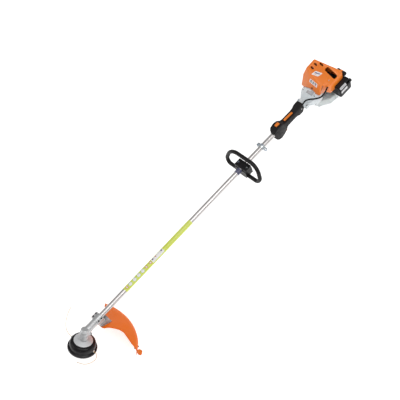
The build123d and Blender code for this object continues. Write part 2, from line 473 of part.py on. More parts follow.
# --------------------------- engine shroud ---------------------------------
CABLE_D = 8.0
CABLE = [(H1 - 12, -13.5, 23), (H1 + 8, -13.5, 23), (1424, -17, 36.5), (1437, -30, 44.5), (1457, -51, 41), (1478, -70, 43), (1500, -73, 46),
         (1518, -73.5, 59), (1534, -72, 68), (1549, -68, 68), (1562, -61, 61), (1567, -56.5, 48), (1568, -55, 35)]
def roof(t):
    """the shroud's outer planes moved in by t"""
    s = box(1462 + t, 1635 - t, -84 + t, 58 - t, 18, 160)
    s = s - half(0.0, -0.49, 0.872, 115.0 - t)                                   # left slope of the top
    s = s - half(-0.941, -0.0483, 0.3348, -1376.7 - t)                           # front, left of the ridge
    s = s - half(-0.923, 0.1846, 0.338, -1345.3 - t)                             # front, right of the ridge
    s = s - half(-0.033, 0.947, 0.319, 37.6 - t)                                 # right wall leans in
    s = s - half(0.916, 0.40, 0.06, 0.916 * 1607 + 0.06 * 100 - t)               # rear face
    # the left wall stands back in front of the carburettor
    k = 0.46 * t
    return s - plate([(1400, -200), (1538 + t, -200), (1538 + t, -84 + k), (1526 + 0.8 * t, -61 + t), (1400, -61 + t)], -10, 200)
outer = roof(0)
outer = outer - plate_y([(1440, 10), (1440, 47), (1500, 45), (1540, 24), (1700, 24), (1700, 10)], -200, 200)
outer = soften_most(outer, (8, 6, 4, 3, 2), lambda s: [e for e in s.edges() if e.center().Z > 50])
inner = roof(4.6)
sh = outer - inner
sh = sh - box(1545, 1700, -79.5, 53.5, 10, 46) - box(1440, 1545, -56, 53.5, 10, 46)
for (x, y, lx, ly, rz) in ((1590, -50, 27, 60, 0), (1566, 22, 11, 17, 0), (1541, 22, 11, 17, 0), (1587, 4, 11, 20, 0)):
    c = SlotOverall(max(lx, ly), min(lx, ly) , rotation=90 if ly > lx else 0) if min(lx, ly) < 20 else RectangleRounded(lx, ly, 8)
    sh = sh - Pos(x, y, 60) * extrude(c, 120)
sh = sh - box(1540, 1640, 40, 70, 20, 88)                # muffler window in the right side
sh = sh - cyl_x(59.5, 1440, 1513) - cyl_x(61.5, 1584, 1700) - box(1569, 1700, -90, -59, 10, 41.5)
sh = sh - tube_path(CABLE, CABLE_D + 1.0, "cable passage")
sh = sh.solids().sort_by(SortBy.VOLUME)[-1]
put("engine_shroud", sh)
cyl = CYL_RAW.intersect(roof(6.6) + box(1500, 1620, -60, 60, 40, 60))
cyl = cyl if not isinstance(cyl, (list, ShapeList)) else cyl[0]
put("cylinder", cyl)

# --------------------------- starter ---------------------------------------
stc = rev_x([(1590.2, 40), (1590.2, 60), (1632, 60), (1640, 52), (1642, 12), (1639, 12), (1637, 48), (1630, 56.5), (1596, 56.5), (1596, 40)])
for a in range(0, 360, 20):
    stc = stc - (Location((0, 0, 0), (a, 0, 0)) * box(1634, 1645, -2.5, 2.5, 22, 44))
stc = stc + cyl_x(12, 1636, 1642) + cyl_x(6.25, 1608, 1638)
STG = (1646.0, -66.0, 62.0)
put("starter_housing", stc)
put("rope_pulley", rev_x([(1612, 6.3), (1612, 33), (1614, 33), (1614, 26), (1621, 26), (1621, 33), (1623, 33), (1623, 6.3)]))
grip = Location((STG[0], STG[1] - 27, STG[2]), (-90, 0, 0)) * Cylinder(10.5, 54, align=(C_, C_, MI))
grip = soften(grip, [6, 4])
put("starter_grip", grip)

# --------------------------- air filter, carburettor -----------------------
fc = box(1570, 1652, -120, -86, -26, 40)
fc = fc - half(0.0, -0.75, 0.66, 0.66 * 40 + 0.75 * 105)
fc = soften(fc, [7, 5, 3], lambda s: [e for e in s.edges() if e.center().Y < -87])
put("filter_cover", fc - box(1573, 1649, -116, -80, -23, 33))
fb = box(1572, 1650, -85.8, -62, -24, 38)
fb = soften(fb, [5, 3], lambda s: s.edges().filter_by(Axis.Y))
fb = fb - cyl_z(10.6, -24.1, -18, 1630, -74)             # the primer bulb is pressed into this pocket
put("filter_base", fb)
put("carburettor", box(1560, 1588, -61.8, -47.2, 4, 34) + cyl_x(7, 1588, 1589.8, -54.5, 18))
KN = (1660.0, -104.0, 10.0)
knob = cyl_x(9, 1652.3, 1664, KN[1], KN[2])
for k in range(8):
    knob = knob - Location((0, KN[1], KN[2]), (k * 45, 0, 0)) * cyl_x(1.6, 1654, 1668, 0, 9.4)
knob = knob + cyl_x(5, 1663, 1667, KN[1], KN[2])
put("filter_knob", knob)
chk = cyl_x(6, 1650.2, 1655, -72, 22) + box(1650.5, 1653.5, -75.5, -68.5, 22, 47)
put("choke_lever", chk)
bulb = Location((1630, -74, -24.3), (180, 0, 0)) * (Cylinder(10, 3, align=(C_, C_, MI)) + Pos(0, 0, 3) * (Sphere(9) - Pos(0, 0, -20) * Cylinder(20, 20, align=(C_, C_, MI))))
put("purge_bulb", bulb)

# --------------------------- fuel tank, cap, skid --------------------------
tp = [(1500, -30), (1518, -39), (1551, -64), (1606, -71), (1612, -62), (1612, 70), (1604, 82), (1530, 82), (1508, 56), (1500, 44)]
tk = plate(tp, -99, -53)
tk = soften(tk, [12, 9, 6, 4], lambda s: s.edges().filter_by(Axis.Z))
tk = soften(tk, [8, 6, 4, 3], lambda s: s.edges().group_by(Axis.Z)[0] + s.edges().group_by(Axis.Z)[-1])
tin = plate([(1504, -27), (1520, -35), (1553, -60), (1603, -66.5), (1607.5, -60), (1607.5, 68), (1601, 78), (1532, 78), (1511, 54), (1504, 41)], -95, -57)
CAP = (1560.0, 55.0, -50.0)
tk = tk + cyl_z(17, -58, -49, CAP[0], CAP[1])
tk = tk - cyl_x(61.5, 1586, 1660) - cyl_x(59.5, 1440, 1513)
tin = tin - cyl_x(65, 1582.5, 1660) - cyl_x(63, 1440, 1516.5)
tk = tk - tin - cyl_z(13, -60, -40, CAP[0], CAP[1])
put("fuel_tank", tk)
fcap = cyl_z(19.5, -48.7, -38, CAP[0], CAP[1])
for k in range(16):
    fcap = fcap - Location((CAP[0], CAP[1], 0), (0, 0, k * 22.5)) * cyl_z(1.6, -50, -36, 19.8, 0)
fcap = fcap + cyl_z(12.6, -55, -48.6, CAP[0], CAP[1])
put("fuel_cap", fcap)
sk = box(1530, 1604, -22, 64, -124, -99.1)
sk = soften(sk, [8, 5], lambda s: s.edges().filter_by(Axis.Z))
put("engine_skid", sk)

# --------------------------- throttle cable --------------------------------
put("throttle_cable", tube_path(CABLE, CABLE_D, "throttle_cable"))

# --------------------------- lay on the floor, origin, export --------------
TIP = Location((0, 0, 0), (0, LIE_ANGLE, 0))
CORDS = ("trimmer_line_a", "trimmer_line_b")
laid = {}
for n, s in parts.items():
    laid[n] = TIP * s if not isinstance(s, Compound) else s.moved(TIP)
low = 1e9
for n, s in laid.items():
    if n not in CORDS and n != "engine_skid":
        low = min(low, s.bounding_box().min.Z)
# the skid's sole is cut level with the deflector's lowest edge
sk = laid["engine_skid"]
sk = sk - Pos(1500, 0, low - 50) * Box(600, 400, 100, align=(C_, C_, C_))
laid["engine_skid"] = sk
bb = [1e9, 1e9, 1e9, -1e9, -1e9, -1e9]
for n, s in laid.items():
    if n in CORDS:
        continue
    b = s.bounding_box()
    for i, v in enumerate((b.min.X, b.min.Y, b.min.Z)):
        bb[i] = min(bb[i], v)
    for i, v in enumerate((b.max.X, b.max.Y, b.max.Z)):
        bb[3 + i] = max(bb[3 + i], v)
SHIFT = (-(bb[0] + bb[3]) / 2, -(bb[1] + bb[4]) / 2, -bb[2])
print("SHIFT", SHIFT, "LIE", LIE_ANGLE, "size", [round(bb[3 + i] - bb[i], 1) for i in range(3)])
MOVE = Location(SHIFT)
for n, s in laid.items():
    s = s.moved(MOVE)
    if not s.is_valid:
        print("NOT VALID", n)
    export_step(s, "parts/" + n + ".step")
print(len(laid), "nodes")
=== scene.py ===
import json
import math
import bpy
import bmesh
from mathutils import Matrix, Vector


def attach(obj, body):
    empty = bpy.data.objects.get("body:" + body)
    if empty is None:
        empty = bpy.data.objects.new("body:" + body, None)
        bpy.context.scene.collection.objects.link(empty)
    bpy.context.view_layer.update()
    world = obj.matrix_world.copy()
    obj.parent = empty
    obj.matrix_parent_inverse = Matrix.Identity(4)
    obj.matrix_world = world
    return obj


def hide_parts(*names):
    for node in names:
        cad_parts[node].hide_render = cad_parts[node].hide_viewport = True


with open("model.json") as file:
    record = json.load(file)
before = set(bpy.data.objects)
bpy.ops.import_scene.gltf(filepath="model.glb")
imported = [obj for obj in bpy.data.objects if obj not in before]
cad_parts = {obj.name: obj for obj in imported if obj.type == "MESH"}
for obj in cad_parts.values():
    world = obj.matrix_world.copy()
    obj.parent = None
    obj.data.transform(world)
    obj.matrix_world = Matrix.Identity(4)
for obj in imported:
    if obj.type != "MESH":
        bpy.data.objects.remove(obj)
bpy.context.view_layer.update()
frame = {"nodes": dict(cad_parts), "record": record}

scene = bpy.context.scene
scene.view_settings.view_transform = "Standard"
scene.view_settings.look = "None"
nodes = frame["nodes"]
rec = frame["record"]

# ---------------------------------------------------------------------------
# frames: TOOL maps the machine's own axes (x along the tube, y to the right,
# z up, millimetres) into the row frame; HEAD is the same for the cutting head
# ---------------------------------------------------------------------------
eye = next(m for m in rec["mounts"] if m["name"] == "harness_eye")
AZ = Vector(eye["axis"]).normalized()
AY = Vector((0, 1, 0))
AX = AY.cross(AZ).normalized()
O = Vector(eye["pos_m"]) - (AX * 1113 - AY * 26) * 0.001
TOOL = Matrix(((AX.x * .001, AY.x * .001, AZ.x * .001, O.x),
               (AX.y * .001, AY.y * .001, AZ.y * .001, O.y),
               (AX.z * .001, AY.z * .001, AZ.z * .001, O.z),
               (0, 0, 0, 1)))
GEAR_X = -103.0
HEAD = TOOL @ Matrix.Translation((GEAR_X, 0, 0)) @ Matrix.Rotation(math.radians(32), 4, "Y")
TILT = math.atan2(-AX.z, AX.x)

def T(x, y, z):
    return TOOL @ Vector((x, y, z))

def H(x, y, z):
    return HEAD @ Vector((x, y, z))

# ------------------------------- camera ------------------------------------
cam = bpy.data.objects.new("camera", bpy.data.cameras.new("camera"))
scene.collection.objects.link(cam)
cx, cy, cz = Vector((0.66264, -0.71230, -0.23136)), Vector((0.72070, 0.52246, 0.45566)), Vector((-0.20369, -0.46869, 0.85956))
cx.normalize(); cz.normalize(); cy = cz.cross(cx).normalized()
cam.matrix_world = Matrix(((cx.x, cy.x, cz.x, -0.8007), (cx.y, cy.y, cz.y, -1.7108), (cx.z, cy.z, cz.z, 3.4749), (0, 0, 0, 1)))
cam.data.sensor_width = 36
cam.data.lens = 73.34
cam.data.clip_end = 60
scene.camera = cam

# ------------------------------ materials ----------------------------------
class Mat:
    """a principled material that is put together from procedural layers"""
    def __init__(self, name, color, rough=0.5, metallic=0.0, spec=0.5, coat=0.0, coat_rough=0.1, ior=1.5):
        self.m = bpy.data.materials.new(name)
        self.m.use_nodes = True
        self.t = self.m.node_tree
        self.b = self.t.nodes["Principled BSDF"]
        self.b.inputs["Base Color"].default_value = (*color, 1)
        self.b.inputs["Roughness"].default_value = rough
        self.b.inputs["Metallic"].default_value = metallic
        self.b.inputs["Specular IOR Level"].default_value = spec
        self.b.inputs["Coat Weight"].default_value = coat
        self.b.inputs["Coat Roughness"].default_value = coat_rough
        self.b.inputs["IOR"].default_value = ior
        self.color, self.rough = color, rough
        tc = self.t.nodes.new("ShaderNodeTexCoord")
        mp = self.t.nodes.new("ShaderNodeMapping")
        mp.inputs["Rotation"].default_value = (0, -TILT, 0)
        self.t.links.new(tc.outputs["Object"], mp.inputs["Vector"])
        self.v = mp.outputs["Vector"]
        self.col = None
        self.nrm = None
    def n(self, kind, **kw):
        x = self.t.nodes.new(kind)
        for k, v in kw.items():
            setattr(x, k, v)
        return x
    def link(self, a, b):
        self.t.links.new(a, b)
    def noise(self, scale, detail=3.0, stretch=None, rough=0.5):
        v = self.v
        if stretch:
            mp = self.n("ShaderNodeMapping")
            mp.inputs["Scale"].default_value = stretch
            self.link(v, mp.inputs["Vector"]); v = mp.outputs["Vector"]
        x = self.n("ShaderNodeTexNoise")
        x.inputs["Scale"].default_value = scale
        x.inputs["Detail"].default_value = detail
        x.inputs["Roughness"].default_value = rough
        self.link(v, x.inputs["Vector"])
        return x.outputs["Fac"]
    def ramp(self, fac, a, b, lo=0.0, hi=1.0):
        r = self.n("ShaderNodeMapRange")
        r.inputs["From Min"].default_value = a
        r.inputs["From Max"].default_value = b
        r.inputs["To Min"].default_value = lo
        r.inputs["To Max"].default_value = hi
        r.clamp = True
        self.link(fac, r.inputs["Value"])
        return r.outputs["Result"]
    def mixcol(self, fac, other):
        """blend the base colour so far towards other where fac is 1"""
        x = self.n("ShaderNodeMix", data_type="RGBA")
        self.link(fac, x.inputs[0])
        if self.col is None:
            x.inputs[6].default_value = (*self.color, 1)
        else:
            self.link(self.col, x.inputs[6])
        x.inputs[7].default_value = (*other, 1)
        self.col = x.outputs[2]
        self.link(self.col, self.b.inputs["Base Color"])
        return self
    def mottle(self, other, scale=9.0, a=0.42, b=0.68, amount=1.0, stretch=None, detail=4.0):
        return self.mixcol(self.ramp(self.noise(scale, detail, stretch), a, b, 0, amount), other)
    def edges(self, other, a=0.52, b=0.60, amount=0.7, scale=160.0):
        """worn or polished convex edges, broken up by noise"""
        g = self.n("ShaderNodeNewGeometry")
        p = self.ramp(g.outputs["Pointiness"], a, b, 0, amount)
        k = self.ramp(self.noise(scale, 4), 0.35, 0.65)
        mu = self.n("ShaderNodeMath", operation="MULTIPLY")
        self.link(p, mu.inputs[0]); self.link(k, mu.inputs[1])
        return self.mixcol(mu.outputs[0], other)
    # blend towards other in concave hollows and creases, where the mesh's pointiness is low, so they come out darker
    def darken_hollows(self, other, a=0.49, b=0.42, amount=0.6):
        g = self.n("ShaderNodeNewGeometry")
        return self.mixcol(self.ramp(g.outputs["Pointiness"], b, a, amount, 0), other)
    def rvary(self, spread=0.1, scale=30.0, stretch=None, detail=4.0):
        r = self.ramp(self.noise(scale, detail, stretch), 0.3, 0.7, max(0.02, self.rough - spread), min(1, self.rough + spread))
        self.link(r, self.b.inputs["Roughness"])
        return self
    def bump(self, fac, strength=0.2, dist=0.0004):
        x = self.n("ShaderNodeBump")
        x.inputs["Strength"].default_value = strength
        x.inputs["Distance"].default_value = dist
        self.link(fac, x.inputs["Height"])
        if self.nrm is not None:
            self.link(self.nrm, x.inputs["Normal"])
        self.nrm = x.outputs["Normal"]
        self.link(self.nrm, self.b.inputs["Normal"])
        return self
    def grain(self, scale=2600.0, strength=0.18, dist=0.00012, stretch=None, detail=2.0):
        return self.bump(self.noise(scale, detail, stretch), strength, dist)
    def pebble(self, scale=900.0, strength=0.25, dist=0.00015):
        x = self.n("ShaderNodeTexVoronoi")
        x.inputs["Scale"].default_value = scale
        self.link(self.v, x.inputs["Vector"])
        return self.bump(x.outputs["Distance"], strength, dist)

M = {}
def keep(key, mt):
    M[key] = mt.m
    return mt

# moulded plastics
keep("orange", Mat("orange_shroud", (0.88, 0.215, 0.012), 0.36, spec=0.5, coat=0.12, coat_rough=0.25)
     .mottle((0.83, 0.190, 0.010), 6.0).rvary(0.07, 40).pebble(1500, 0.10, 0.0001).grain(60, 0.08, 0.0006).edges((0.93, 0.30, 0.07), 0.53, 0.62, 0.45))
keep("orange_guard", Mat("orange_guard", (0.86, 0.165, 0.008), 0.50, spec=0.22)
     .mottle((0.80, 0.148, 0.007), 5.0).rvary(0.08, 25).pebble(1100, 0.16, 0.00015).grain(40, 0.10, 0.0010).edges((0.94, 0.33, 0.09), 0.53, 0.62, 0.4))
keep("orange_key", Mat("orange_key", (0.90, 0.230, 0.012), 0.40, spec=0.5)
     .mottle((0.85, 0.20, 0.010), 30.0).rvary(0.06, 90).grain(1800, 0.12, 0.0001).edges((0.95, 0.34, 0.08), 0.53, 0.62, 0.4))
keep("black", Mat("black_moulded", (0.0076, 0.0071, 0.0080), 0.46, spec=0.22)
     .mottle((0.0118, 0.0109, 0.0122), 14.0).rvary(0.10, 45).pebble(1300, 0.22, 0.00015).edges((0.0357, 0.0344, 0.0357), 0.53, 0.62, 0.55))
keep("black_grip", Mat("black_grip", (0.0092, 0.0084, 0.0088), 0.55, spec=0.20)
     .mottle((0.0139, 0.0126, 0.0130), 18.0).rvary(0.10, 60).pebble(760, 0.40, 0.00022).edges((0.0294, 0.0281, 0.0286), 0.53, 0.62, 0.5))
keep("head_black", Mat("head_nylon", (0.0050, 0.0040, 0.0055), 0.30, spec=0.20, coat=0.1, coat_rough=0.15)
     .mottle((0.0101, 0.0092, 0.0105), 20.0).rvary(0.09, 70).grain(900, 0.06, 0.0001).edges((0.0420, 0.0399, 0.0420), 0.53, 0.62, 0.5)
     .mottle((0.16, 0.14, 0.11), 120.0, 0.66, 0.78, 0.22))
keep("rubber", Mat("loop_rubber", (0.0067, 0.0061, 0.0065), 0.37, spec=0.24)
     .mottle((0.0126, 0.0113, 0.0118), 16.0).rvary(0.10, 40).pebble(1000, 0.18, 0.00015).edges((0.0315, 0.0294, 0.0294), 0.53, 0.64, 0.4))
keep("cable", Mat("cable_jacket", (0.0055, 0.0050, 0.0059), 0.40, spec=0.24)
     .mottle((0.0101, 0.0092, 0.0101), 60.0).rvary(0.08, 120).grain(1500, 0.15, 0.0001))
keep("boot", Mat("boot_rubber", (0.0059, 0.0055, 0.0059), 0.55, spec=0.20)
     .mottle((0.0109, 0.0101, 0.0105), 50.0).rvary(0.08, 90).grain(1200, 0.2, 0.00015))
# metals
keep("tube", Mat("tube_polished", (0.60, 0.575, 0.565), 0.27, 1.0)
     .mottle((0.53, 0.505, 0.50), 22.0, 0.38, 0.66, 0.8, stretch=(0.08, 1, 1)).mottle((0.68, 0.66, 0.65), 900.0, 0.50, 0.62, 0.35, stretch=(0.012, 1, 1))
     .rvary(0.07, 700, stretch=(0.02, 1, 1)).grain(2200, 0.10, 0.00005, stretch=(0.02, 1, 1)))
keep("cast", Mat("cast_alloy", (0.56, 0.565, 0.57), 0.42, 0.85, spec=0.5)
     .mottle((0.47, 0.475, 0.48), 35.0).rvary(0.10, 130).grain(1400, 0.45, 0.00022, detail=4).edges((0.78, 0.785, 0.79), 0.53, 0.61, 0.7).darken_hollows((0.20, 0.19, 0.185), 0.485, 0.42, 0.5))
keep("bracket", Mat("bracket_alloy", (0.40, 0.395, 0.40), 0.48, 0.85, spec=0.5)
     .mottle((0.33, 0.325, 0.33), 40.0).rvary(0.10, 130).grain(1100, 0.5, 0.00025, detail=4).edges((0.66, 0.66, 0.66), 0.53, 0.61, 0.7).darken_hollows((0.12, 0.11, 0.11), 0.485, 0.42, 0.6))
keep("dish", Mat("spun_dish", (0.66, 0.67, 0.685), 0.50, 0.45)
     .mottle((0.64, 0.65, 0.665), 26.0).rvary(0.04, 60).grain(900, 0.12, 0.00008).edges((0.90, 0.90, 0.91), 0.53, 0.62, 0.5))
keep("white_alloy", Mat("painted_housing", (0.72, 0.76, 0.78), 0.40, 0.0, spec=0.5, coat=0.2, coat_rough=0.25)
     .mottle((0.62, 0.67, 0.70), 20.0).rvary(0.08, 90).grain(1300, 0.28, 0.0002, detail=4).edges((0.86, 0.89, 0.90), 0.53, 0.61, 0.7).darken_hollows((0.22, 0.24, 0.26), 0.485, 0.42, 0.55))
keep("zinc", Mat("blue_zinc", (0.50, 0.56, 0.64), 0.27, 1.0)
     .mottle((0.58, 0.60, 0.56), 60.0, 0.42, 0.62, 0.7).rvary(0.07, 220).grain(1600, 0.10, 0.00006).edges((0.80, 0.83, 0.88), 0.53, 0.62, 0.5))
keep("steel", Mat("machined_steel", (0.42, 0.41, 0.405), 0.30, 1.0)
     .mottle((0.34, 0.33, 0.325), 60.0).rvary(0.08, 240).grain(1800, 0.12, 0.00006).edges((0.62, 0.61, 0.60), 0.53, 0.62, 0.6))
keep("muffler", Mat("muffler_steel", (0.26, 0.24, 0.225), 0.44, 0.9)
     .mottle((0.19, 0.15, 0.13), 26.0, 0.40, 0.64, 0.8).rvary(0.12, 90).grain(1100, 0.3, 0.0002, detail=4).edges((0.48, 0.45, 0.42), 0.53, 0.62, 0.6))
keep("screw_black", Mat("black_oxide", (0.030, 0.029, 0.031), 0.36, 0.7)
     .mottle((0.055, 0.05, 0.05), 160.0).rvary(0.08, 300).grain(2400, 0.12, 0.00005).edges((0.30, 0.29, 0.29), 0.53, 0.62, 0.7))
keep("porcelain", Mat("plug_porcelain", (0.78, 0.77, 0.73), 0.20, 0.0, coat=0.5)
     .mottle((0.68, 0.66, 0.62), 120.0).rvary(0.05, 200))
# tank: translucent shell and the mixture in it
tk = keep("tank", Mat("tank_shell", (0.80, 0.845, 0.84), 0.33, 0.0, spec=0.5, ior=1.5)
     .mottle((0.70, 0.755, 0.76), 12.0).rvary(0.07, 60).grain(500, 0.10, 0.00025).edges((0.92, 0.94, 0.94), 0.53, 0.62, 0.5))
tk.b.inputs["Transmission Weight"].default_value = 0.28
tk.b.inputs["Subsurface Weight"].default_value = 0.35
tk.b.inputs["Subsurface Radius"].default_value = (0.006, 0.007, 0.006)
keep("fuel", Mat("fuel_mix", (0.60, 0.68, 0.10), 0.16, 0.0, spec=0.5).mottle((0.52, 0.60, 0.07), 24.0).rvary(0.04, 60))
bl = keep("bulb", Mat("primer_bulb", (0.62, 0.64, 0.58), 0.22, 0.0, spec=0.5, coat=0.3)
     .mottle((0.50, 0.52, 0.46), 60.0).rvary(0.06, 150))
bl.b.inputs["Transmission Weight"].default_value = 0.45
# films and prints
keep("film", Mat("label_film", (0.62, 0.70, 0.085), 0.30, 0.0, spec=0.5, coat=0.35, coat_rough=0.12)
     .mottle((0.72, 0.78, 0.22), 10.0, 0.42, 0.70, 0.7, stretch=(0.4, 1, 1)).rvary(0.06, 60).grain(300, 0.04, 0.0002))
keep("sleeve", Mat("sleeve_vinyl", (0.060, 0.062, 0.125), 0.34, 0.0, coat=0.3)
     .mottle((0.10, 0.10, 0.17), 60.0).rvary(0.08, 120).grain(900, 0.12, 0.0001))
keep("paper", Mat("sticker_white", (0.83, 0.82, 0.81), 0.34, 0.0, coat=0.25).mottle((0.77, 0.76, 0.755), 50.0).rvary(0.06, 160).grain(600, 0.04, 0.0001))
keep("plate_grey", Mat("plate_grey", (0.43, 0.415, 0.43), 0.36, 0.35).mottle((0.36, 0.345, 0.36), 60.0).rvary(0.07, 200).grain(1500, 0.08, 0.00006))
keep("plate_light", Mat("plate_light", (0.72, 0.72, 0.73), 0.34, 0.25).mottle((0.64, 0.64, 0.655), 50.0).rvary(0.06, 160).grain(900, 0.06, 0.00008))
keep("ink_dark", Mat("ink_dark", (0.065, 0.055, 0.085), 0.38, 0.0).mottle((0.10, 0.09, 0.12), 200.0).rvary(0.05, 300))
keep("ink_violet", Mat("ink_violet", (0.17, 0.13, 0.24), 0.38, 0.0).mottle((0.22, 0.18, 0.29), 200.0).rvary(0.05, 300))
keep("ink_red", Mat("ink_red", (0.62, 0.075, 0.045), 0.36, 0.0).mottle((0.52, 0.06, 0.04), 200.0).rvary(0.05, 300))
keep("ink_blue", Mat("ink_blue", (0.34, 0.54, 0.70), 0.36, 0.0).mottle((0.28, 0.48, 0.64), 200.0).rvary(0.05, 300))
keep("ink_orange", Mat("ink_orange", (0.86, 0.30, 0.05), 0.36, 0.0).mottle((0.76, 0.25, 0.04), 200.0).rvary(0.05, 300))
ln = keep("line", Mat("line_nylon", (0.72, 0.42, 0.16), 0.30, 0.0, spec=0.5, coat=0.2)
     .mottle((0.78, 0.50, 0.22), 90.0).rvary(0.06, 200).grain(1800, 0.08, 0.00005))
ln.b.inputs["Subsurface Weight"].default_value = 0.1
ln.b.inputs["Subsurface Radius"].default_value = (0.002, 0.0012, 0.0006)
keep("mesh_dark", Mat("screen_dark", (0.030, 0.028, 0.030), 0.5, 0.6).mottle((0.055, 0.05, 0.05), 90.0).rvary(0.1, 200).pebble(700, 0.5, 0.0003))
keep("copper", Mat("clip_brass", (0.56, 0.40, 0.17), 0.28, 1.0).mottle((0.45, 0.31, 0.13), 90.0).rvary(0.07, 260))

BY = {
 "orange": "engine_shroud", "orange_guard": "deflector", "orange_key": "throttle_trigger lockout_lever stop_switch",
 "black": "loop_clamp filter_cover filter_base starter_housing starter_grip rope_pulley engine_skid choke_lever filter_knob fuel_cap shaft_bushes line_spool",
 "black_grip": "handle_shell_left handle_shell_right", "head_black": "head_housing head_cap tap_button", "rubber": "loop_handle",
 "boot": "plug_boot", "cable": "throttle_cable", "tank": "fuel_tank", "bulb": "purge_bulb", "cast": "gearbox_housing crankcase cylinder carburettor flywheel_fan",
 "dish": "thrust_dish", "white_alloy": "clutch_housing", "tube": "drive_tube", "bracket": "guard_bracket", "zinc": "carrying_ring clamp_screws_short loop_screws",
 "steel": "output_shaft bevel_gear bevel_pinion gearbox_bearings drive_shaft clutch_drum clutch_shoes crankshaft line_blade line_eyelets spark_plug",
 "muffler": "muffler", "screw_black": "gearbox_screws deflector_screws handle_screws housing_screws grease_plug", "film": "tube_label", "sleeve": "tube_sleeve",
 "line": "trimmer_line_a trimmer_line_b"}
for key, names in BY.items():
    for nm in names.split():
        o = nodes[nm]
        o.data.materials.clear()
        o.data.materials.append(M[key])

# every CAD node: weld the seams of its mesh; the nodes listed in FINE also get a fine radius on their edges
FINE = {"engine_shroud": 0.9, "deflector": 0.5, "clutch_housing": 0.5, "crankcase": 0.5, "gearbox_housing": 0.45, "guard_bracket": 0.7, "handle_shell_left": 0.5,
        "handle_shell_right": 0.5, "filter_cover": 0.6, "filter_base": 0.5, "starter_housing": 0.5, "starter_grip": 0.3, "engine_skid": 0.8, "fuel_cap": 0.4, "loop_clamp": 0.5,
        "carrying_ring": 0.4, "stop_switch": 0.3, "throttle_trigger": 0.4, "lockout_lever": 0.4, "filter_knob": 0.35, "choke_lever": 0.3, "carburettor": 0.5, "cylinder": 0.25,
        "head_cap": 0.4, "tap_button": 0.4, "line_blade": 0.15, "muffler": 0.4}
for nm, o in nodes.items():
    w = o.modifiers.new("weld", "WELD"); w.merge_threshold = 1e-6
    if nm in FINE:
        b = o.modifiers.new("edge", "BEVEL")
        b.width = FINE[nm] * 0.001; b.segments = 2; b.limit_method = "ANGLE"; b.angle_limit = math.radians(38)
        b.use_clamp_overlap = True; b.harden_normals = False
    for p in o.data.polygons:
        p.use_smooth = True
    e = o.modifiers.new("split", "EDGE_SPLIT"); e.split_angle = math.radians(32)

# ------------------------------ mesh helpers -------------------------------
def piece(name, bm, mats, body, M4=TOOL, bevel=0.0, smooth=35, segs=3, repl=()):
    me = bpy.data.meshes.new(name)
    bmesh.ops.remove_doubles(bm, verts=bm.verts, dist=1e-5)
    bmesh.ops.recalc_face_normals(bm, faces=bm.faces)
    bm.to_mesh(me); bm.free()
    me.transform(M4)
    for k in (mats if isinstance(mats, (list, tuple)) else [mats]):
        me.materials.append(M[k])
    for p in me.polygons:
        p.use_smooth = True
    o = bpy.data.objects.new(name, me)
    scene.collection.objects.link(o)
    if bevel:
        b = o.modifiers.new("edge", "BEVEL"); b.width = bevel * 0.001; b.segments = segs; b.limit_method = "ANGLE"; b.angle_limit = math.radians(30)
    e = o.modifiers.new("split", "EDGE_SPLIT"); e.split_angle = math.radians(smooth)
    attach(o, body)
    if repl:
        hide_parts(*repl)
    return o

def add_prism(bm, pts, at, ex, ey, h0, h1, mat=0):
    """closed outline pts in the plane (at; ex, ey), raised along its normal from h0 to h1"""
    at, ex, ey = Vector(at), Vector(ex).normalized(), Vector(ey).normalized()
    n = ex.cross(ey).normalized()
    lo = [bm.verts.new(at + ex * a + ey * b + n * h0) for a, b in pts]
    hi = [bm.verts.new(at + ex * a + ey * b + n * h1) for a, b in pts]
    fs = [bm.faces.new(hi), bm.faces.new(lo[::-1])]
    k = len(pts)
    for i in range(k):
        fs.append(bm.faces.new((lo[i], lo[(i + 1) % k], hi[(i + 1) % k], hi[i])))
    for f in fs:
        f.material_index = mat

def rounded(w, h, r, k=6, cx=0.0, cy=0.0):
    out = []
    for sx, sy, a0 in ((1, 1, 0), (-1, 1, 90), (-1, -1, 180), (1, -1, 270)):
        for i in range(k + 1):
            a = math.radians(a0 + 90.0 * i / k)
            out.append((cx + sx * (w / 2 - r) + r * math.cos(a), cy + sy * (h / 2 - r) + r * math.sin(a)))
    return out

def circle(r, k=32, cx=0.0, cy=0.0):
    return [(cx + r * math.cos(2 * math.pi * i / k), cy + r * math.sin(2 * math.pi * i / k)) for i in range(k)]

def wrap(bm, star, x0, a0, r, t=0.12, mat=0, rings=5, k=48):
    """a thin patch on a round tube about X: star(phi) is its edge radius (mm), centred at x0 and angle a0 from +Z towards -Y"""
    def P(rho, phi, rr):
        x, s = rho * math.cos(phi), rho * math.sin(phi)
        a = a0 + s / r
        return Vector((x0 + x, -rr * math.sin(a), rr * math.cos(a)))
    rows = []
    for j in range(rings + 1):
        f = j / rings
        rows.append([bm.verts.new(P(f * star(2 * math.pi * i / k), 2 * math.pi * i / k, r + t)) for i in range(k)] if j else [bm.verts.new(P(0, 0, r + t))])
    skirt = [bm.verts.new(P(star(2 * math.pi * i / k), 2 * math.pi * i / k, r)) for i in range(k)]
    for i in range(k):
        n = (i + 1) % k
        bm.faces.new((rows[0][0], rows[1][i], rows[1][n])).material_index = mat
        for j in range(1, rings):
            bm.faces.new((rows[j][i], rows[j + 1][i], rows[j + 1][n], rows[j][n])).material_index = mat
        bm.faces.new((rows[rings][i], skirt[i], skirt[n], rows[rings][n])).material_index = mat
    bm.faces.new(skirt[::-1]).material_index = mat

def poly_star(pts, k=3):
    """edge radius of a polygon about its centre, as a function of the angle"""
    def f(phi):
        best = 1e9
        d = Vector((math.cos(phi), math.sin(phi)))
        for i in range(len(pts)):
            p, q = Vector(pts[i]), Vector(pts[(i + 1) % len(pts)])
            e = q - p
            den = d.x * e.y - d.y * e.x
            if abs(den) < 1e-9:
                continue
            tt = (p.x * e.y - p.y * e.x) / den
            u = (p.x * d.y - p.y * d.x) / den
            if tt > 0 and -1e-6 <= u <= 1 + 1e-6:
                best = min(best, tt)
        return best
    return f

